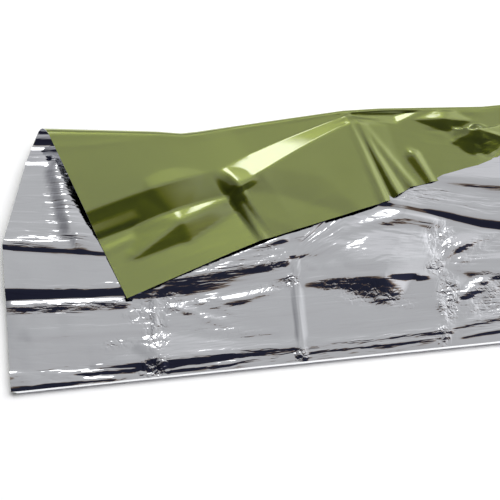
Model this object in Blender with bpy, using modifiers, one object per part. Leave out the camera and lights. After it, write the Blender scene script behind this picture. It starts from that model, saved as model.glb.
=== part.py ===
"""Emergency foil blanket, partly unfolded: one sheet of metallised film.

The sheet lies as one back-and-forth strip. Four hidden layers lie flat on the
ground. The top layer runs back over them, with two wedge pleats across it,
rolls over at the back and comes forward again as a loose flap.

The frame has +X along the front fold, +Y away from it and +Z up, with its
origin under the middle of the sheet. Sizes below are in centimetres.
"""

import math

import bmesh
import bpy
from mathutils import Vector

CM = 0.01

# The film and the hidden stack under the top layer
SHEET_THICKNESS = 0.1
LAYER_PITCH = 0.20
HIDDEN_LAYERS = 4
LAYER_DEPTH = 22.8
LAYER_INSET = 0.45
TURN_STEPS = 5

# The factory folds: sixteen panels along the blanket
PANELS = 16
PANEL_LENGTH = 13.15
COLUMN_SPACING = 4.4

# The top layer
BASE_Z = SHEET_THICKNESS / 2 + HIDDEN_LAYERS * LAYER_PITCH
RISER_RUN = 0.75
STEP_RUN = 0.6
CREASE_HEIGHT = 0.1
ROLL_STEPS = 9
HINGE_FROM_ROLL = 2.0

# One row for each cross fold of the opened end. The columns are
#   x        where the fold meets the front edge
#   crease   how far behind the front edge the first row crease runs
#   foot     depth of the first pleat's foot, and lip, its height
#   tread    depth of the second pleat's foot, and step, its height
#   pivot    depth where the fold starts to lean to the right, and lean, its slope
#   roll     depth of the roll's centre, radius, and wind, its own further lean
#   edge_x, edge_y, edge_z   where the fold meets the flap's loose edge
#   drop_a, drop_b           where along the flap its steep band starts and ends
#   drop     height lost across that band
COLUMNS = (
    "x", "crease", "foot", "lip", "tread", "step", "pivot", "lean", "roll", "radius",
    "wind", "edge_x", "edge_y", "edge_z", "drop_a", "drop_b", "drop",
)
OPENED_END = (
    (0.0, 1.6, 9.1, 0.60, 13.9, 0.40, 14.5, 0.31, 24.8, 1.15, 0.7, 10.9, 7.7, 1.40, 0.49, 0.63, 0.55),
    (12.6, 0.7, 7.9, 0.45, 11.6, 0.25, 10.2, 0.28, 23.4, 0.85, 0.8, 23.4, 12.1, 1.35, 0.34, 0.56, 0.45),
    (13.3, 0.7, 7.8, 0.45, 11.6, 0.25, 10.0, 0.28, 23.4, 0.85, 0.8, 24.1, 12.3, 1.35, 0.33, 0.56, -0.45),
    (26.0, 0.6, 8.3, 0.05, 11.8, 0.05, 8.5, 0.40, 24.6, 0.60, 0.0, 36.0, 15.1, 1.30, 0.03, 0.12, 0.00),
    (29.5, 0.7, 8.2, 0.10, 11.9, 0.15, 8.4, 0.40, 24.5, 0.60, 0.0, 38.1, 16.3, 1.35, 0.10, 0.20, 0.00),
    (39.1, 1.0, 7.8, 0.20, 12.3, 0.30, 8.0, 0.42, 23.6, 0.55, 0.0, 44.6, 17.3, 1.40, 0.30, 0.60, 0.05),
    (42.5, 1.0, 7.5, 0.25, 11.8, 0.35, 7.8, 0.41, 23.6, 0.55, 0.0, 47.3, 18.9, 1.40, 0.40, 0.60, 0.05),
    (52.3, 0.9, 6.6, 0.35, 10.6, 0.50, 7.5, 0.40, 23.6, 0.50, 0.0, 59.0, 17.6, 1.40, 0.40, 0.60, 0.10),
)

# The rest of the blanket lies plainly, with the same pleats fading along it
FAR_LEAN = 0.30
FAR_LIP = 0.15
FAR_STEP = 0.25
FAR_RADIUS = 0.50
FAR_FLAP = 6.2
FIRST_FAR = 5
WANDER = 0.35

OLIVE = (0.35, 0.40, 0.14, 1.0)


def blend(a, b, share):
    return a + (b - a) * share


def far_station(index):
    """The cross fold of one panel beyond the opened end."""
    last = dict(zip(COLUMNS, OPENED_END[-1]))
    share = (index - FIRST_FAR + 1) / (PANELS - FIRST_FAR + 1)
    x = last["x"] + (index - FIRST_FAR + 1) * PANEL_LENGTH
    lean = blend(last["lean"], FAR_LEAN, share)
    radius = blend(last["radius"], FAR_RADIUS, share)
    roll = last["roll"] + WANDER * math.sin(1.9 * index)
    top_x = x + lean * (roll - last["pivot"] + math.pi * radius)
    flap = FAR_FLAP + WANDER * math.sin(2.7 * index + 1.0)
    return {
        "x": x,
        "crease": last["crease"],
        "foot": last["foot"] + WANDER * math.sin(2.3 * index),
        "lip": blend(last["lip"], FAR_LIP, share),
        "tread": last["tread"] + WANDER * math.sin(1.3 * index + 0.5),
        "step": blend(last["step"], FAR_STEP, share),
        "pivot": last["pivot"],
        "lean": lean,
        "roll": roll,
        "radius": radius,
        "wind": 0.0,
        "edge_x": top_x + 0.2 * flap,
        "edge_y": roll - flap,
        "edge_z": last["edge_z"],
        "drop_a": last["drop_a"],
        "drop_b": last["drop_b"],
        "drop": last["drop"] * (1.0 - share),
    }


def stations():
    """Every cross fold, from the opened end to the far end."""
    opened = [dict(zip(COLUMNS, row)) for row in OPENED_END]
    return opened + [far_station(index) for index in range(FIRST_FAR, PANELS + 1)]


def columns():
    """The sections that the sheet is lofted through."""
    folds = stations()
    sections = []
    for here, after in zip(folds, folds[1:]):
        steps = max(1, round((after["x"] - here["x"]) / COLUMN_SPACING))
        for step in range(steps):
            share = step / steps
            sections.append({key: blend(here[key], after[key], share) for key in COLUMNS})
    return sections + [folds[-1]]


def hidden_layers():
    """(depth, height) of the flat layers, from the sheet's hidden edge to the front fold."""
    points = []
    radius = LAYER_PITCH / 2
    for layer in range(HIDDEN_LAYERS):
        height = SHEET_THICKNESS / 2 + layer * LAYER_PITCH
        goes_back = (HIDDEN_LAYERS - layer) % 2 == 0
        start, end = (0.0, LAYER_DEPTH) if goes_back else (LAYER_DEPTH, 0.0)
        points.append((start, height))
        points.append(((start + end) / 2, height))
        side = 1.0 if goes_back else -1.0
        for step in range(TURN_STEPS):
            angle = math.pi * step / TURN_STEPS
            points.append((end + side * radius * math.sin(angle), height + radius - radius * math.cos(angle)))
    return points


def base_profile(fold):
    """(depth, height) of the top layer from its front fold to the foot of the roll."""
    return [
        (0.0, 0.0),
        (fold["crease"], CREASE_HEIGHT),
        (fold["crease"] + 0.8, 0.0),
        (fold["foot"] - 0.2, 0.0),
        (fold["foot"] + RISER_RUN, fold["lip"]),
        (fold["tread"], 0.3 * fold["lip"]),
        (fold["tread"] + STEP_RUN, 0.3 * fold["lip"] + fold["step"]),
        (fold["roll"] - HINGE_FROM_ROLL, 0.05),
    ]


def leaning(fold, depth):
    """How far right of the front edge a fold lies at this depth."""
    return fold["x"] + fold["lean"] * max(0.0, depth - fold["pivot"])


def section(fold):
    """The sheet's whole path at one cross fold, from the hidden edge to the loose edge."""
    path = []
    for depth, height in hidden_layers():
        path.append(Vector((leaning(fold, depth) + LAYER_INSET, depth, height)))
    for depth, height in base_profile(fold):
        path.append(Vector((leaning(fold, depth), depth, BASE_Z + height)))
    radius = fold["radius"]
    foot_x = leaning(fold, fold["roll"])
    sideways = fold["lean"] * math.pi * radius + fold["wind"]
    for step in range(ROLL_STEPS + 1):
        turn = math.pi * step / ROLL_STEPS
        depth = fold["roll"] + radius * math.sin(turn)
        height = BASE_Z + radius - radius * math.cos(turn)
        path.append(Vector((foot_x + sideways * turn / math.pi, depth, height)))
    top = path[-1]
    edge = Vector((fold["edge_x"], fold["edge_y"], fold["edge_z"]))
    for share, drop in ((fold["drop_a"], -0.5), (fold["drop_b"], 0.5)):
        point = top.lerp(edge, share)
        point.z -= drop * fold["drop"]
        path.append(point)
    path.append(edge)
    return path


def make_material():
    material = bpy.data.materials.new("metallised_film")
    material.use_nodes = True
    shader = material.node_tree.nodes["Principled BSDF"]
    shader.inputs["Base Color"].default_value = OLIVE
    shader.inputs["Metallic"].default_value = 0.9
    shader.inputs["Roughness"].default_value = 0.15
    return material


def make_sheet(collection):
    """A grid laid through the sections, with Solidify for the film."""
    paths = [section(fold) for fold in columns()]
    across, along = len(paths) - 1, len(paths[0]) - 1
    bm = bmesh.new()
    bmesh.ops.create_grid(bm, x_segments=across, y_segments=along, size=0.5)
    for vertex in bm.verts:
        column = round((vertex.co.x + 0.5) * across)
        row = round((vertex.co.y + 0.5) * along)
        vertex.co = paths[column][row] * CM
    mesh = bpy.data.meshes.new("foil_sheet")
    bm.to_mesh(mesh)
    bm.free()
    mesh.materials.append(make_material())
    sheet = bpy.data.objects.new("foil_sheet", mesh)
    collection.objects.link(sheet)
    film = sheet.modifiers.new("film", "SOLIDIFY")
    film.thickness = SHEET_THICKNESS * CM
    film.offset = 0.0
    film.use_even_offset = True
    film.use_quality_normals = True
    return sheet


def centre_on_origin(sheet):
    """Moves the mesh so that its box stands on the origin, centred over it."""
    bpy.context.view_layer.update()
    evaluated = sheet.evaluated_get(bpy.context.evaluated_depsgraph_get())
    corners = [Vector(corner) for corner in evaluated.bound_box]
    low = Vector([min(corner[axis] for corner in corners) for axis in range(3)])
    high = Vector([max(corner[axis] for corner in corners) for axis in range(3)])
    middle = (low + high) / 2
    for vertex in sheet.data.vertices:
        vertex.co -= Vector((middle.x, middle.y, low.z))


def main():
    for old in list(bpy.data.objects):
        bpy.data.objects.remove(old)
    collection = bpy.data.collections.new("emergency_foil_blanket")
    bpy.context.scene.collection.children.link(collection)
    centre_on_origin(make_sheet(collection))


main()
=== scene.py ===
"""Looks of the emergency foil blanket: crinkled metallised film, silver inside and olive outside.

Sizes are in centimetres in the sheet's own frame: X along the front fold from the opened end,
Y away from that fold, Z up from the ground.
"""

import math

import bmesh
import bpy
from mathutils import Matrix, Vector, noise


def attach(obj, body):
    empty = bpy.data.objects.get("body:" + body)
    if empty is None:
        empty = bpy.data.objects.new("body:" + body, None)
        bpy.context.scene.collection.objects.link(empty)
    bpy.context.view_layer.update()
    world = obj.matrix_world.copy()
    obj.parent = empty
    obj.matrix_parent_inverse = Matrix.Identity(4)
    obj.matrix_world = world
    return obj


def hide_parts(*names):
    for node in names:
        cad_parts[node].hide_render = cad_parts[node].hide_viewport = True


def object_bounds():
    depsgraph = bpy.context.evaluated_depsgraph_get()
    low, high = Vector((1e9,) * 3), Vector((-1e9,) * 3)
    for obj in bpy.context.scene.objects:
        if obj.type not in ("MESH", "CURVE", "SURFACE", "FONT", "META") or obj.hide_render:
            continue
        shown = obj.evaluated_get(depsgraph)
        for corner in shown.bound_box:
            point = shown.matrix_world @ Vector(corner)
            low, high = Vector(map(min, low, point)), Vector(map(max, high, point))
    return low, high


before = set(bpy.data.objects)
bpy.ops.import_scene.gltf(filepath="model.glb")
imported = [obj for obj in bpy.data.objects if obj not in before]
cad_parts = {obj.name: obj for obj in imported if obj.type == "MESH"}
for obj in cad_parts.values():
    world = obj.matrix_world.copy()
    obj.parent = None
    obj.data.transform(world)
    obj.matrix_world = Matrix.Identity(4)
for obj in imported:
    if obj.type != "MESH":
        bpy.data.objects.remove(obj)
CAD_LOW, CAD_HIGH = [list(corner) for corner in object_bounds()]

CM = 0.01
FILM = 0.03

# ---------------------------------------------------------------- the folded strip

# The solid's film and the pitch of its layers say where the top layer lies. Here the film is
# thinner and the hidden layers are closer together.
SOLID_FILM = 0.1
SOLID_PITCH = 0.20
HIDDEN_LAYERS = 4
LAYER_PITCH = 0.12
LAYER_DEPTH = 22.8
LAYER_INSET = 0.45
LAYER_SETBACK = 0.35
TURN_STEPS = 5
FRONT_TURN = SOLID_PITCH / 2 + SOLID_FILM / 2
PANELS = 16
PANEL_LENGTH = 13.15
BASE_Z = SOLID_FILM / 2 + HIDDEN_LAYERS * SOLID_PITCH
# How far the front fold sags, and over what depth
FRONT_DIP = 0.18
DIP_RUN = 6.0
# Flat runs behind the front crease and before the riser
CREASE_FLAT = 0.8
FOOT_FLAT = 0.2
RISER_RUN = 0.75
STEP_RUN = 0.5
TREAD_FALL = 0.95
BACK_FALL = 0.8
ROLL_STEPS = 14
ROLL_STREAKS = 0.3
HINGE_FROM_ROLL = 2.0
# The relief fades in over this depth at the front fold, and over this many points of the flap
FRONT_EASE = 0.3
FLAP_EASE = 5

# One row for each cross fold or corner of the opened end. x is its place along the front fold.
# crease, foot, tread and roll are depths: of the front crease, the first pleat's riser, the second
# pleat's step and the start of the roll. lip and step are the two pleats' heights. Behind the depth
# pivot the row leans right by lean for each centimetre. radius is the roll's, and wind is how much
# further right the roll carries the film. The flap's loose edge is at edge_x, edge_y and edge_z. From
# the share drop_a to the share drop_b of its way to that edge the flap comes down by drop. cells is
# the number of grid cells up to the next row.

COLUMNS = (
    "x", "crease", "foot", "lip", "tread", "step", "pivot", "lean", "roll", "radius",
    "wind", "edge_x", "edge_y", "edge_z", "drop_a", "drop_b", "drop", "cells",
)
OPENED_END = (
    (0.0, 1.6, 9.1, 0.50, 13.9, 0.18, 14.5, 0.31, 24.8, 1.15, 0.7, 10.9, 7.7, 1.32, 0.49, 0.63, 0.50, 37),
    (10.2, 0.9, 8.1, 0.28, 12.0, 0.10, 11.0, 0.29, 23.8, 0.85, 0.8, 21.0, 11.3, 1.42, 0.37, 0.57, 0.65, 9),
    (12.6, 0.7, 7.9, 0.22, 11.6, 0.08, 10.2, 0.28, 23.5, 0.75, 0.8, 23.4, 12.1, 1.45, 0.34, 0.56, 0.65, 5),
    (13.9, 0.7, 7.8, 0.21, 11.6, 0.07, 9.9, 0.29, 23.6, 0.70, 0.8, 24.7, 12.4, 1.45, 0.32, 0.53, -0.25, 9),
    (16.5, 0.7, 7.9, 0.22, 11.6, 0.12, 9.6, 0.31, 24.0, 0.57, 0.6, 27.1, 13.0, 1.42, 0.26, 0.46, -0.52, 34),
    (26.0, 0.6, 8.3, 0.05, 11.8, 0.05, 8.5, 0.40, 24.7, 0.52, 0.0, 36.0, 15.1, 1.22, 0.03, 0.12, -0.28, 12),
    (29.5, 0.7, 8.2, 0.10, 15.6, 0.15, 8.4, 0.40, 24.5, 0.55, 0.0, 38.1, 16.3, 1.18, 0.10, 0.20, 0.00, 33),
    (39.1, 1.0, 7.8, 0.12, 12.7, 0.24, 8.0, 0.42, 23.6, 0.55, 0.0, 44.6, 17.3, 1.22, 0.30, 0.60, 0.05, 12),
    (42.5, 1.0, 7.5, 0.15, 11.5, 0.28, 7.8, 0.41, 23.6, 0.55, 0.0, 47.3, 18.9, 1.25, 0.40, 0.60, 0.05, 22),
    (52.3, 0.9, 6.6, 0.25, 9.2, 0.38, 7.5, 0.40, 23.6, 0.50, 0.0, 59.0, 17.6, 1.25, 0.40, 0.60, 0.10, 8),
)
FAR_CELLS = 6
FAR_LEAN = 0.30
FAR_LIP = 0.15
FAR_STEP = 0.25
FAR_RADIUS = 0.50
FAR_FLAP = 6.2
FLAP_SLANT = 0.2
WANDER = 0.35
FIRST_FAR = 5

# Cells of the grid along each stretch of the section
HIDDEN_CELLS = 1
BASE_CELLS = (7, 5, 26, 5, 16, 4, 20, 5)
FLAP_CELLS = (26, 13, 24)


def blend(a, b, share):
    return a + (b - a) * share


def wander(index, rate, start=0.0):
    """How far one fold strays at a panel. Each fold has its own rate, so that they differ."""
    return WANDER * math.sin(rate * index + start)


def far_station(index):
    """The cross fold of one panel beyond the opened end."""
    last = dict(zip(COLUMNS, OPENED_END[-1]))
    share = (index - FIRST_FAR + 1) / (PANELS - FIRST_FAR + 1)
    x = last["x"] + (index - FIRST_FAR + 1) * PANEL_LENGTH
    lean = blend(last["lean"], FAR_LEAN, share)
    radius = blend(last["radius"], FAR_RADIUS, share)
    roll = last["roll"] + wander(index, 1.9)
    top_x = x + lean * (roll - last["pivot"] + math.pi * radius)
    flap = FAR_FLAP + wander(index, 2.7, 1.0)
    return {
        "x": x,
        "crease": last["crease"],
        "foot": last["foot"] + wander(index, 2.3),
        "lip": blend(last["lip"], FAR_LIP, share),
        "tread": last["tread"] + wander(index, 1.3, 0.5),
        "step": blend(last["step"], FAR_STEP, share),
        "pivot": last["pivot"],
        "lean": lean,
        "roll": roll,
        "radius": radius,
        "wind": 0.0,
        "edge_x": top_x + FLAP_SLANT * flap,
        "edge_y": roll - flap,
        "edge_z": last["edge_z"],
        "drop_a": last["drop_a"],
        "drop_b": last["drop_b"],
        "drop": last["drop"] * (1.0 - share),
        "cells": FAR_CELLS,
    }


def stations():
    """The cross folds from the opened end to the far one."""
    opened = [dict(zip(COLUMNS, row)) for row in OPENED_END]
    return opened + [far_station(index) for index in range(FIRST_FAR, PANELS + 1)]


def sections():
    """The section at every column of the grid, worked out between the cross folds."""
    folds = stations()
    found = []
    for here, after in zip(folds, folds[1:]):
        for step in range(here["cells"]):
            share = step / here["cells"]
            found.append({key: blend(here[key], after[key], share) for key in COLUMNS})
    return found + [folds[-1]]


def hidden_layers():
    """(depth, height) of the flat layers, from the sheet's hidden edge to the front fold."""
    points = []
    radius = LAYER_PITCH / 2
    for layer in range(HIDDEN_LAYERS):
        height = FILM + layer * LAYER_PITCH
        goes_back = (HIDDEN_LAYERS - layer) % 2 == 0
        front = 0.0 if layer == HIDDEN_LAYERS - 1 else LAYER_SETBACK
        start, end = (front, LAYER_DEPTH) if goes_back else (LAYER_DEPTH, front)
        points.append((start, height))
        points.append(((start + end) / 2, height))
        side = 1.0 if goes_back else -1.0
        for step in range(TURN_STEPS):
            angle = math.pi * step / TURN_STEPS
            depth = end + side * radius * math.sin(angle)
            points.append((depth, height + radius - radius * math.cos(angle)))
    return points


def base_profile(fold):
    """(depth, height) of the top layer, from the front fold over both pleats to the roll."""
    tread = TREAD_FALL * fold["lip"]
    back = tread + fold["step"]
    return [
        (0.0, 0.0),
        (fold["crease"], 0.0),
        (fold["crease"] + CREASE_FLAT, 0.0),
        (fold["foot"] - FOOT_FLAT, 0.0),
        (fold["foot"] + RISER_RUN, fold["lip"]),
        (fold["tread"], tread),
        (fold["tread"] + STEP_RUN, back),
        (fold["roll"] - HINGE_FROM_ROLL, BACK_FALL * back),
    ]


# ---------------------------------------------------------------- creases

# Creases are small gable roofs with rounded crests laid on the sheet. A row is x, y and height at one
# end, the same at the other end, and the slopes of the right side and of the left side as seen along
# the line, so that a crease narrows as it fades. Troughs are the same, upside down.
CREST_ROUND = 0.12
BASE_RIDGES = (
    # the crumpled front edge
    (0.0, 1.45, 0.10, 2.6, 1.30, 0.02, 0.40, 0.20),
    (0.0, 0.95, 0.07, 6.0, 0.75, 0.05, 0.40, 0.25),
    (3.0, 1.20, 0.04, 11.0, 0.95, 0.09, 0.40, 0.20),
    (0.0, 0.45, 0.07, 9.0, 0.30, 0.06, 0.40, 0.30),
    (7.5, 1.50, 0.05, 12.0, 1.55, 0.22, 0.35, 0.15),
    (13.4, 1.45, 0.34, 21.0, 1.45, 0.12, 0.38, 0.12),
    (21.0, 1.45, 0.12, 27.6, 1.45, 0.05, 0.38, 0.12),
    (14.6, 2.10, 0.12, 27.6, 1.75, 0.05, 0.38, 0.12),
    (13.5, 0.50, 0.07, 20.0, 0.50, 0.03, 0.38, 0.20),
    (26.2, 1.40, 0.07, 32.6, 1.35, 0.05, 0.40, 0.10),
    (32.6, 1.35, 0.05, 39.4, 1.50, 0.10, 0.40, 0.10),
    (26.2, 0.85, 0.05, 38.0, 0.85, 0.04, 0.35, 0.15),
    (38.5, 1.40, 0.03, 47.0, 2.90, 0.10, 0.42, 0.12),
    (40.5, 0.80, 0.04, 46.0, 1.30, 0.08, 0.30, 0.35),
    # the cross folds
    (12.95, 0.6, 0.09, 13.3, 7.9, 0.07, 0.40, 0.40),
    (25.8, 0.6, 0.14, 26.2, 8.3, 0.12, 0.20, 0.90),
    (26.2, 8.3, 0.16, 27.0, 12.4, 0.26, 0.30, 0.90),
    (38.9, 0.9, 0.08, 39.4, 7.7, 0.08, 0.35, 0.45),
    # below the first pleat
    (0.4, 8.50, 0.15, 10.6, 7.70, 0.15, 0.22, 0.60),
    (17.3, 6.60, 0.06, 21.0, 6.65, 0.15, 0.32, 0.10),
    (21.0, 6.65, 0.15, 24.2, 7.20, 0.08, 0.32, 0.10),
    (15.0, 6.60, 0.10, 18.6, 5.00, 0.03, 0.25, 0.30),
    (18.4, 6.30, 0.08, 20.6, 5.20, 0.02, 0.35, 0.10),
    (17.6, 3.90, 0.03, 24.0, 3.00, 0.03, 0.16, 0.10),
    (2.0, 5.00, 0.04, 12.0, 4.60, 0.03, 0.12, 0.04),
    # the dark wedge behind the first pleat
    (15.0, 9.6, 0.12, 25.6, 12.2, 0.30, 0.25, 0.30),
    (14.5, 9.2, 0.14, 25.6, 10.2, 0.24, 0.27, 0.02),
    (20.0, 9.60, 0.16, 23.0, 10.2, 0.10, 0.30, 0.50),
    # between the second and third cross folds
    (27.2, 12.3, 0.20, 38.6, 8.05, 0.18, 0.04, 0.26),
    (29.6, 12.0, 0.14, 37.0, 13.5, 0.28, 0.22, 0.20),
    (37.0, 13.5, 0.28, 40.2, 12.4, 0.10, 0.22, 0.20),
    (26.0, 8.25, 0.10, 34.5, 9.10, 0.02, 0.40, 0.05),
    (26.5, 7.70, 0.08, 30.5, 7.90, 0.32, 0.24, 0.10),
    (30.5, 7.90, 0.32, 34.2, 7.40, 0.62, 0.24, 0.10),
    (34.2, 7.40, 0.62, 37.4, 7.30, 0.08, 0.24, 0.10),
    (35.0, 5.30, 0.02, 36.9, 5.90, 0.09, 0.25, 0.10),
    # beyond the third cross fold
    (39.3, 8.20, 0.05, 41.5, 9.60, 0.14, 0.32, 0.10),
    (41.5, 9.60, 0.14, 44.4, 10.5, 0.06, 0.32, 0.10),
    (39.2, 7.70, 0.05, 47.0, 6.30, 0.35, 0.22, 0.15),
    (40.0, 4.40, 0.05, 43.2, 6.00, 0.24, 0.25, 0.25),
    (41.6, 16.8, 0.14, 48.5, 15.2, 0.34, 0.30, 0.08),
    # behind the second pleat
    (6.4, 15.2, 0.24, 5.4, 21.8, 0.24, 0.10, 0.26),
    (2.4, 22.9, 0.03, 6.6, 21.8, 0.03, 0.20, 0.10),
)
BASE_TROUGHS = (
    (19.5, 7.30, 0.05, 24.5, 7.60, 0.06, 0.10, 0.25),
)
FLAP_RIDGES = (
    (5.4, 23.4, 0.03, 9.5, 23.25, 0.03, 0.15, 0.10),
    (9.5, 23.25, 0.03, 16.3, 23.7, 0.01, 0.15, 0.10),
    # a roll of film below the steep band
    (8.6, 14.3, 0.10, 17.0, 17.0, 0.10, 0.30, 0.10),
    (9.5, 12.6, 0.05, 15.5, 15.2, 0.04, 0.14, 0.10),
    # the dark leaf below it
    (12.2, 11.9, 0.10, 16.5, 14.8, 0.54, 0.27, 0.10),
    (16.5, 14.8, 0.54, 21.4, 17.0, 0.34, 0.26, 0.12),
    (23.8, 12.4, 0.12, 21.6, 17.0, 0.12, 0.35, 0.25),
    # the gathers that run to the front edge
    (35.6, 15.1, 0.14, 33.3, 24.5, 0.06, 0.35, 0.25),
    (36.9, 15.8, 0.20, 33.8, 24.2, 0.06, 0.45, 0.25),
    (38.3, 16.5, 0.12, 34.1, 24.0, 0.04, 0.30, 0.20),
    (40.4, 16.2, 0.12, 39.0, 19.6, 0.22, 0.55, 0.25),
    # facets towards the far end
    (39.7, 23.2, 0.02, 42.5, 22.9, 0.26, 0.24, 0.20),
    (42.5, 22.9, 0.26, 44.8, 22.5, 0.02, 0.24, 0.20),
    (43.2, 20.8, 0.15, 45.3, 21.3, 0.60, 0.26, 0.80),
    (45.3, 21.3, 0.60, 47.6, 20.6, 0.15, 0.26, 0.80),
)
FLAP_TROUGHS = (
    (21.6, 17.2, 0.03, 25.1, 16.8, 0.12, 0.05, 0.05),
    (25.1, 16.8, 0.12, 28.5, 15.5, 0.14, 0.05, 0.05),
    (28.5, 15.5, 0.14, 31.6, 14.1, 0.08, 0.06, 0.06),
    (36.2, 15.3, 0.14, 33.5, 24.4, 0.05, 0.30, 0.30),
    (33.4, 24.4, 0.04, 37.6, 24.0, 0.22, 0.25, 0.25),
    (37.6, 24.0, 0.22, 40.7, 24.5, 0.04, 0.25, 0.25),
)

# Patches where the film is crumpled: centre, half sizes, turn in degrees, size of a facet along the
# patch and across it, height, and how strongly fine streaks and fine chips show there.
FACET_GAIN = 1.1
FACET_LEVEL = 0.35
FACET_WARP = 0.35
WARP_SCALE = 0.7
PATCH_SPACING = 7.3
BASE_CRUMPLES = (
    # the front edge, and the star at its first cross fold
    (6.0, 0.7, 9.0, 1.3, -2, 3.0, 0.8, 0.04, 1.0, 0.0),
    (20.0, 1.1, 9.0, 1.1, -1, 3.0, 0.8, 0.03, 0.8, 0.0),
    (33.0, 1.0, 9.0, 1.0, 1, 3.0, 0.8, 0.03, 0.8, 0.0),
    (45.0, 2.2, 6.0, 1.2, 8, 3.0, 0.8, 0.03, 0.8, 0.0),
    (12.9, 0.8, 1.7, 1.2, 20, 0.8, 0.7, 0.10, 0.0, 1.0),
    (25.9, 0.7, 0.7, 0.9, 0, 0.8, 0.7, 0.04, 0.0, 0.8),
    (38.7, 1.1, 0.8, 1.2, 0, 0.8, 0.7, 0.04, 0.0, 0.8),
    # under the first pleat
    (5.4, 7.7, 6.8, 0.8, -2, 2.6, 0.7, 0.10, 1.0, 0.2),
    (13.4, 6.7, 3.4, 1.7, 15, 1.7, 1.2, 0.14, 0.2, 0.5),
    (13.2, 4.4, 1.5, 2.4, 0, 1.1, 1.2, 0.08, 0.0, 0.6),
    (18.2, 5.9, 4.4, 2.0, -25, 3.2, 1.1, 0.13, 0.4, 0.1),
    (19.5, 3.6, 5.0, 0.9, -10, 2.4, 0.9, 0.04, 0.3, 0.2),
    (9.6, 3.5, 2.0, 0.7, 0, 1.4, 0.7, 0.04, 0.2, 0.4),
    (23.6, 7.5, 2.0, 0.7, 5, 1.6, 0.7, 0.10, 0.3, 0.5),
    # the dark wedge and the node at the second cross fold
    (19.6, 10.0, 6.5, 1.6, 12, 3.4, 1.1, 0.05, 0.9, 0.1),
    (24.4, 10.4, 1.8, 1.8, 20, 1.8, 1.3, 0.06, 0.2, 0.4),
    (25.9, 8.0, 1.0, 0.8, 0, 0.9, 0.8, 0.08, 0.0, 1.0),
    (27.6, 10.2, 1.6, 1.8, -10, 1.4, 1.4, 0.14, 0.2, 0.1),
    # between the second and third cross folds
    (32.0, 10.6, 6.0, 1.5, -22, 4.0, 1.2, 0.05, 0.8, 0.0),
    (34.6, 12.4, 5.4, 1.9, -10, 3.6, 0.9, 0.06, 1.0, 0.0),
    (32.6, 5.8, 5.2, 1.5, -18, 2.8, 1.4, 0.10, 0.3, 0.4),
    # the third cross fold
    (40.0, 10.6, 1.7, 2.4, -10, 1.5, 1.3, 0.20, 0.1, 0.8),
    (39.2, 7.9, 1.1, 1.0, 0, 0.9, 0.9, 0.10, 0.0, 1.0),
    (39.8, 4.7, 1.3, 3.0, -8, 1.1, 1.4, 0.14, 0.1, 0.9),
    (43.8, 4.6, 3.8, 2.6, 20, 2.6, 1.2, 0.22, 0.4, 0.4),
    (38.9, 15.6, 3.6, 1.1, -12, 2.4, 0.8, 0.14, 1.0, 0.2),
    (44.5, 13.6, 3.4, 1.2, -18, 3.0, 1.0, 0.10, 0.8, 0.0),
    (43.2, 9.2, 3.6, 1.5, 20, 2.6, 1.1, 0.14, 0.6, 0.2),
    # the back panel's edge and the second pleat
    (6.0, 19.4, 2.0, 5.0, -10, 1.4, 2.0, 0.08, 0.8, 0.0),
    (6.4, 22.9, 1.2, 0.9, 0, 1.2, 0.8, 0.14, 0.6, 0.3),
    (4.0, 14.4, 6.5, 0.7, 0, 3.0, 0.6, 0.06, 1.0, 0.0),
    (4.0, 9.3, 8.0, 0.5, 0, 4.0, 0.5, 0.03, 0.5, 0.0),
)
FLAP_CRUMPLES = (
    (21.4, 17.2, 1.6, 1.2, 30, 1.4, 0.8, 0.04, 0.1, 0.0),
    (33.5, 24.0, 1.6, 1.2, 0, 1.1, 0.8, 0.06, 0.2, 0.1),
    (46.0, 19.6, 1.8, 1.2, -35, 1.4, 0.8, 0.14, 0.2, 0.3),
    (36.0, 18.5, 2.2, 3.5, -20, 1.2, 3.0, 0.05, 0.1, 0.0),
    (43.0, 22.0, 3.4, 1.8, 0, 2.4, 1.6, 0.08, 0.1, 0.0),
)

# Height, size and noise layer of the soft swells
BASE_SWELLS = ((0.05, 5.0, 3.1), (0.012, 1.7, 8.3))
FLAP_SWELLS = ((0.06, 6.0, 21.7), (0.008, 1.8, 5.3))
BASE_RELIEF = (BASE_RIDGES, BASE_TROUGHS, BASE_CRUMPLES, BASE_SWELLS)
FLAP_RELIEF = (FLAP_RIDGES, FLAP_TROUGHS, FLAP_CRUMPLES, FLAP_SWELLS)


def crease_height(creases, x, y):
    """The tallest crease over one place of the sheet."""
    top = 0.0
    for x0, y0, h0, x1, y1, h1, near, far in creases:
        run_x, run_y = x1 - x0, y1 - y0
        share = ((x - x0) * run_x + (y - y0) * run_y) / (run_x * run_x + run_y * run_y)
        share = min(1.0, max(0.0, share))
        off_x, off_y = x - (x0 + share * run_x), y - (y0 + share * run_y)
        slope = far if run_x * off_y > run_y * off_x else near
        away = math.sqrt(off_x * off_x + off_y * off_y + CREST_ROUND ** 2) - CREST_ROUND
        top = max(top, h0 + (h1 - h0) * share - slope * away)
    return top


def crumpling(crumples, x, y):
    """(height, streaks, chips) of the crumpled patches over one place of the sheet."""
    height, streaks, chips = 0.0, 0.0, 0.0
    for seed, row in enumerate(crumples):
        cx, cy, half_x, half_y, turn, facet_x, facet_y, depth, streaky, chipped = row
        angle = math.radians(turn)
        along = (x - cx) * math.cos(angle) + (y - cy) * math.sin(angle)
        across = (y - cy) * math.cos(angle) - (x - cx) * math.sin(angle)
        reach = math.hypot(along / half_x, across / half_y)
        if reach >= 1.0:
            continue
        share = 1.0 - reach ** 3
        place = Vector((along / facet_x, across / facet_y, PATCH_SPACING * seed))
        place.y += FACET_WARP * noise.noise(place * WARP_SCALE)
        near, second = noise.voronoi(place)[0][:2]
        height += depth * share * FACET_GAIN * (second - near - FACET_LEVEL)
        streaks = max(streaks, streaky * share)
        chips = max(chips, chipped * share)
    return height, streaks, chips


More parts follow.
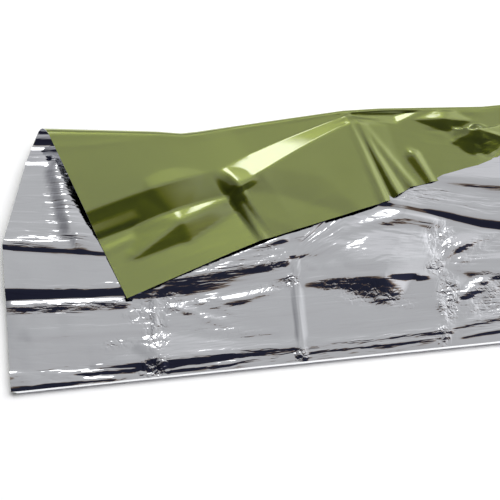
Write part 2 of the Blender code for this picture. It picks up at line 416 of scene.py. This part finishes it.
def relief_at(relief, x, y):
    """(height, streaks, chips) of one part of the sheet at one place."""
    ridges, troughs, crumples, swells = relief
    rise = crease_height(ridges, x, y) - crease_height(troughs, x, y)
    crumple, streaks, chips = crumpling(crumples, x, y)
    swell = sum(tall * noise.noise(Vector((x / size, y / size, layer))) for tall, size, layer in swells)
    return rise + crumple + swell, streaks, chips


# ---------------------------------------------------------------- the sheet

# From the sheet's own frame to the part's
SHIFT = Vector((CAD_LOW[0], CAD_LOW[1] + FRONT_TURN * CM, CAD_LOW[2]))


def stretch(points, cells):
    """Points of the grid from the first point of a path to just before its last."""
    found = []
    for here, after, count in zip(points, points[1:], cells):
        found += [here.lerp(after, step / count) for step in range(count)]
    return found


def leaning(fold, depth):
    """How far right of the front edge a fold lies at this depth."""
    return fold["x"] + fold["lean"] * max(0.0, depth - fold["pivot"])


def rolled(fold):
    """The section's points round the roll, from the top layer to the flap."""
    radius = fold["radius"]
    start_x = leaning(fold, fold["roll"])
    sideways = fold["lean"] * math.pi * radius + fold["wind"]
    points = []
    for step in range(ROLL_STEPS + 1):
        turn = math.pi * step / ROLL_STEPS
        depth = fold["roll"] + radius * math.sin(turn)
        height = BASE_Z + radius - radius * math.cos(turn)
        points.append(Vector((start_x + sideways * turn / math.pi, depth, height)))
    return points


def column(fold):
    """(place, streaks, chips) of the grid's points at one section, from the hidden edge to the flap's."""
    hidden = []
    for depth, height in hidden_layers():
        hidden.append(Vector((leaning(fold, depth) + LAYER_INSET, depth, height)))
    base = []
    for depth, height in base_profile(fold):
        base.append(Vector((leaning(fold, depth), depth, BASE_Z + height)))
    roll = rolled(fold)
    top = roll[-1]
    edge = Vector((fold["edge_x"], fold["edge_y"], fold["edge_z"]))
    dropped = top.lerp(edge, fold["drop_b"])
    dropped.z -= fold["drop"]
    flap = [top, top.lerp(edge, fold["drop_a"]), dropped, edge]

    front = base[0] - Vector((0.0, 0.0, FRONT_DIP))
    points = [(point, 0.0, 0.0) for point in stretch(hidden + [front], [HIDDEN_CELLS] * len(hidden))]
    for point in stretch(base + roll[:1], BASE_CELLS):
        rise, streaks, chips = relief_at(BASE_RELIEF, point.x, point.y)
        dip = FRONT_DIP * max(0.0, 1.0 - point.y / DIP_RUN) ** 2
        point.z += rise * min(1.0, point.y / FRONT_EASE) - dip
        points.append((point, streaks, chips))
    points += [(point, ROLL_STREAKS, 0.0) for point in roll[:-1]]
    for index, point in enumerate(stretch(flap, FLAP_CELLS) + [edge]):
        rise, streaks, chips = relief_at(FLAP_RELIEF, point.x, point.y)
        lift = Vector((0.0, 0.0, rise * min(1.0, index / FLAP_EASE)))
        points.append((point + lift, streaks, chips))
    return points


def lay_grid(name):
    """A grid laid through the sections, with the flat sheet as its UV map."""
    paths = [column(fold) for fold in sections()]
    across, along = len(paths) - 1, len(paths[0]) - 1
    middle = [point for point, *_ in paths[len(paths) // 3]]
    flat_v = [0.0]
    for here, after in zip(middle, middle[1:]):
        flat_v.append(flat_v[-1] + (after - here).length)
    flat_u = [path[0][0].x for path in paths]
    bm = bmesh.new()
    uv = bm.loops.layers.uv.new("flat_sheet")
    streaky = bm.verts.layers.float.new("streaks")
    chipped = bm.verts.layers.float.new("chips")
    bmesh.ops.create_grid(bm, x_segments=across, y_segments=along, size=0.5, calc_uvs=False)
    place = {}
    for vertex in bm.verts:
        i = round((vertex.co.x + 0.5) * across)
        j = round((vertex.co.y + 0.5) * along)
        place[vertex] = (flat_u[i] * CM, flat_v[j] * CM)
        point, vertex[streaky], vertex[chipped] = paths[i][j]
        vertex.co = point * CM + SHIFT
    for face in bm.faces:
        face.smooth = True
        for loop in face.loops:
            loop[uv].uv = place[loop.vert]
    mesh = bpy.data.meshes.new(name)
    bm.to_mesh(mesh)
    bm.free()
    return mesh, (flat_v[-1] * CM, flat_u[-1] * CM)


SHARP_FROM = math.radians(60)


def make_film(name, mesh, materials):
    """Gives the sheet its thickness, the first material above and the second one below."""
    for material in materials:
        mesh.materials.append(material)
    piece = bpy.data.objects.new(name, mesh)
    bpy.context.scene.collection.objects.link(piece)
    film = piece.modifiers.new("film", "SOLIDIFY")
    film.thickness = FILM * CM
    film.offset = 0.0
    film.use_even_offset = True
    film.material_offset = 1
    bpy.context.view_layer.update()
    evaluated = piece.evaluated_get(bpy.context.evaluated_depsgraph_get())
    whole = bpy.data.meshes.new_from_object(evaluated)
    piece.modifiers.clear()
    piece.data = whole
    whole.name = name
    whole.set_sharp_from_angle(angle=SHARP_FROM)
    return piece


# ---------------------------------------------------------------- materials

class Sock:
    """One shader socket, with Python's operators."""

    def __init__(self, owner, socket):
        self.owner, self.socket = owner, socket

    def _math(self, operation, a, b):
        return self.owner.add("ShaderNodeMath", {"operation": operation}, {0: a, 1: b})

    def __add__(self, other):
        return self._math("ADD", self, other)

    __radd__ = __add__

    def __sub__(self, other):
        return self._math("SUBTRACT", self, other)

    def __rsub__(self, other):
        return self._math("SUBTRACT", other, self)

    def __mul__(self, other):
        return self._math("MULTIPLY", self, other)

    __rmul__ = __mul__

    def absolute(self):
        return self._math("ABSOLUTE", self, 0.0)

    def least(self, other):
        return self._math("MINIMUM", self, other)

    def turn_from(self, level):
        """The angle whose rise is this and whose run is level."""
        return self._math("ARCTAN2", self, level)

    def offset(self, distance):
        """This vector, moved by one distance along every axis."""
        return self.owner.add("ShaderNodeVectorMath", {"operation": "ADD"}, {0: self, 1: distance})

    def parts(self):
        """All the outputs of this socket's node."""
        return [Sock(self.owner, socket) for socket in self.socket.node.outputs]


class Tree:
    """A node tree, with one method for any node."""

    def __init__(self, owner):
        owner.use_nodes = True
        self.tree = owner.node_tree

    def find(self, kind):
        return next(node for node in self.tree.nodes if node.bl_idname == kind)

    def add(self, kind, settings=None, values=None, out=0):
        node = self.tree.nodes.new(kind)
        for key, value in (settings or {}).items():
            if key == "stops":
                ramp = node.color_ramp
                while len(ramp.elements) < len(value):
                    ramp.elements.new(0.5)
                for element, (position, colour) in zip(ramp.elements, value):
                    element.position = position
                    element.color = (*colour, 1.0)
            else:
                setattr(node, key, value)
        self.feed(node, values or {})
        return Sock(self, node.outputs[out])

    def feed(self, node, values):
        for key, value in values.items():
            if isinstance(value, Sock):
                self.tree.links.new(value.socket, node.inputs[key])
            else:
                node.inputs[key].default_value = value


def film_material(name, colour, worn, metal, roughness, coat, relief):
    """Metallised film, with the fine creases that folding presses in. Heights are in millimetres."""
    material = bpy.data.materials.new(name)
    tree = Tree(material)
    shader = tree.find("ShaderNodeBsdfPrincipled")
    flat = tree.add("ShaderNodeTexCoord", out=2)
    streaky = tree.add("ShaderNodeAttribute", {"attribute_name": "streaks"}, out=2)
    chipped = tree.add("ShaderNodeAttribute", {"attribute_name": "chips"}, out=2)

    drawn = tree.add("ShaderNodeMapping", values={"Vector": flat, "Scale": (1.0, 7.0, 1.0)})
    long_waves = tree.add("ShaderNodeTexNoise", values={"Vector": drawn, "Scale": 14.0, "Detail": 3.0})
    lines = tree.add("ShaderNodeTexNoise", values={"Vector": drawn, "Scale": 60.0, "Detail": 2.0})
    groove = ((long_waves - 0.5).absolute() * 10.0).least(1.0)

    haze = tree.add("ShaderNodeTexNoise", values={"Vector": flat, "Scale": 60.0, "Detail": 3.0})
    bent = flat.offset(haze * 0.012)
    edges = {"feature": "DISTANCE_TO_EDGE"}
    facets = tree.add("ShaderNodeTexVoronoi", edges, {"Vector": bent, "Scale": 120.0})
    chips = tree.add("ShaderNodeTexVoronoi", edges, {"Vector": bent, "Scale": 330.0})

    height = long_waves * 0.22 + haze * 0.05 + groove * 0.04
    height = height + (groove * 0.20 + lines * 0.20) * streaky
    height = height + (facets.least(0.3) * 1.3 + chips.least(0.3) * 0.4) * chipped
    bump = tree.add("ShaderNodeBump", values={"Strength": relief, "Distance": 0.001, "Height": height})
    tint = tree.add(
        "ShaderNodeMix", {"data_type": "RGBA"},
        {"Factor": haze * 0.6, 6: (*colour, 1.0), 7: (*worn, 1.0)}, out=2,
    )
    tree.feed(shader, {
        "Base Color": tint, "Roughness": haze * 0.05 + roughness, "Normal": bump,
        "Metallic": metal, "Coat Weight": coat, "Coat Roughness": 0.04, "Coat IOR": 2.4,
    })
    return material


# ---------------------------------------------------------------- surroundings

VIEW_YAW = math.radians(6.5)
VIEW_RISE = math.radians(62.0)
VIEW_DISTANCE = 1.60
VIEW_WIDTH = 0.4617
VIEW_TARGET = Vector((22.557, 12.052, 0.0))
SENSOR_WIDTH = 36.0

# What the studio sends: shares of STUDIO_STRENGTH along an arch from the far horizon over the top to
# the near one, and factors from its left side to its right side
STUDIO_STRENGTH = 2.0
STUDIO_ARCH = (
    (0.00, (0.08, 0.08, 0.09)),
    (0.14, (0.20, 0.20, 0.21)),
    (0.22, (0.31, 0.31, 0.32)),
    (0.28, (0.29, 0.29, 0.30)),
    (0.325, (0.232, 0.234, 0.240)),
    (0.435, (0.205, 0.204, 0.211)),
    (0.450, (0.12, 0.105, 0.095)),
    (0.462, (0.045, 0.030, 0.022)),
    (0.478, (0.008, 0.009, 0.016)),
    (0.76, (0.006, 0.006, 0.012)),
    (0.82, (0.12, 0.12, 0.13)),
    (1.00, (0.22, 0.22, 0.23)),
)
STUDIO_SIDES = (
    (0.0, (0.25, 0.25, 0.27)),
    (0.28, (0.45, 0.45, 0.47)),
    (0.45, (1.0, 1.0, 1.0)),
    (0.57, (1.0, 1.0, 1.0)),
    (0.72, (1.7, 1.7, 1.7)),
    (1.0, (1.2, 1.2, 1.2)),
)
# A round window behind the blanket: the way to it, and its light by the cosine of the angle from there
WINDOW_WAY = (-0.06, 0.715, 0.697)
WINDOW_GLOW = (
    (0.0, (0.0, 0.0, 0.0)),
    (0.9935, (0.0, 0.0, 0.0)),
    (0.9955, (1.5, 1.5, 1.5)),
    (1.0, (1.5, 1.5, 1.5)),
)
OVERHEAD_SIZE = (3.0, 2.0)
OVERHEAD_WATTS = 75.0
OVERHEAD_PLACE = (0.0, 0.3, 2.2)
FLOOR_SIZE = 8.0
FLOOR_GAP = 0.0002


def make_camera():
    data = bpy.data.cameras.new("camera")
    data.sensor_width = SENSOR_WIDTH
    data.lens = SENSOR_WIDTH * VIEW_DISTANCE / VIEW_WIDTH
    camera = bpy.data.objects.new("camera", data)
    bpy.context.scene.collection.objects.link(camera)
    towards = Vector((
        math.sin(VIEW_YAW) * math.cos(VIEW_RISE),
        math.cos(VIEW_YAW) * math.cos(VIEW_RISE),
        -math.sin(VIEW_RISE),
    ))
    camera.location = VIEW_TARGET * CM + SHIFT - towards * VIEW_DISTANCE
    camera.rotation_euler = towards.to_track_quat("-Z", "Y").to_euler()
    bpy.context.scene.camera = camera


def make_world():
    """A studio: pale behind, dark above and on the near side, with a window behind."""
    world = bpy.data.worlds.new("studio")
    bpy.context.scene.world = world
    tree = Tree(world)
    shade = tree.find("ShaderNodeBackground")
    way = tree.add("ShaderNodeTexCoord")
    turned = tree.add(
        "ShaderNodeVectorRotate", {"rotation_type": "Z_AXIS"}, {"Vector": way, "Angle": VIEW_YAW},
    )
    x, y, z = tree.add("ShaderNodeSeparateXYZ", values={"Vector": turned}).parts()
    arch = z.turn_from(y) * (1.0 / math.pi)
    sky = tree.add("ShaderNodeValToRGB", {"stops": STUDIO_ARCH}, {"Fac": arch})
    side = tree.add("ShaderNodeValToRGB", {"stops": STUDIO_SIDES}, {"Fac": x * 0.5 + 0.5})
    both = tree.add(
        "ShaderNodeMix", {"data_type": "RGBA", "blend_type": "MULTIPLY"},
        {"Factor": 1.0, 6: sky, 7: side}, out=2,
    )
    towards = tree.add(
        "ShaderNodeVectorMath", {"operation": "DOT_PRODUCT"}, {0: way, 1: WINDOW_WAY}, out=1,
    )
    window = tree.add("ShaderNodeValToRGB", {"stops": WINDOW_GLOW}, {"Fac": towards})
    lit = tree.add(
        "ShaderNodeMix", {"data_type": "RGBA", "blend_type": "ADD"},
        {"Factor": 1.0, 6: both, 7: window}, out=2,
    )
    tree.feed(shade, {"Color": lit, "Strength": STUDIO_STRENGTH})


def make_lights():
    """One wide lamp overhead, which the film doesn't mirror."""
    data = bpy.data.lights.new("overhead", "AREA")
    data.shape = "RECTANGLE"
    data.size, data.size_y = OVERHEAD_SIZE
    data.energy = OVERHEAD_WATTS
    lamp = bpy.data.objects.new("overhead", data)
    lamp.location = OVERHEAD_PLACE
    lamp.visible_glossy = False
    bpy.context.scene.collection.objects.link(lamp)


def make_floor():
    bm = bmesh.new()
    bmesh.ops.create_grid(bm, x_segments=1, y_segments=1, size=FLOOR_SIZE)
    mesh = bpy.data.meshes.new("floor")
    bm.to_mesh(mesh)
    bm.free()
    material = bpy.data.materials.new("pale_floor")
    tree = Tree(material)
    shader = tree.find("ShaderNodeBsdfPrincipled")
    tree.feed(shader, {"Base Color": (0.95, 0.95, 0.95, 1.0), "Roughness": 0.9})
    mesh.materials.append(material)
    floor = bpy.data.objects.new("floor", mesh)
    floor.location.z = CAD_LOW[2] - FLOOR_GAP
    bpy.context.scene.collection.objects.link(floor)


def main():
    bpy.context.scene.view_settings.view_transform = "Standard"
    make_camera()
    make_world()
    make_lights()
    make_floor()
    silver = film_material("silver_face", (0.93, 0.94, 0.955), (0.86, 0.87, 0.885), 1.0, 0.02, 0.0, 1.0)
    olive = film_material("olive_face", (0.33, 0.40, 0.025), (0.30, 0.37, 0.02), 0.95, 0.28, 1.0, 0.6)
    mesh, flat = lay_grid("foil_film")
    film = make_film("foil_film", mesh, (silver, olive))
    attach(film, "root")
    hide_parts("foil_sheet")


main()
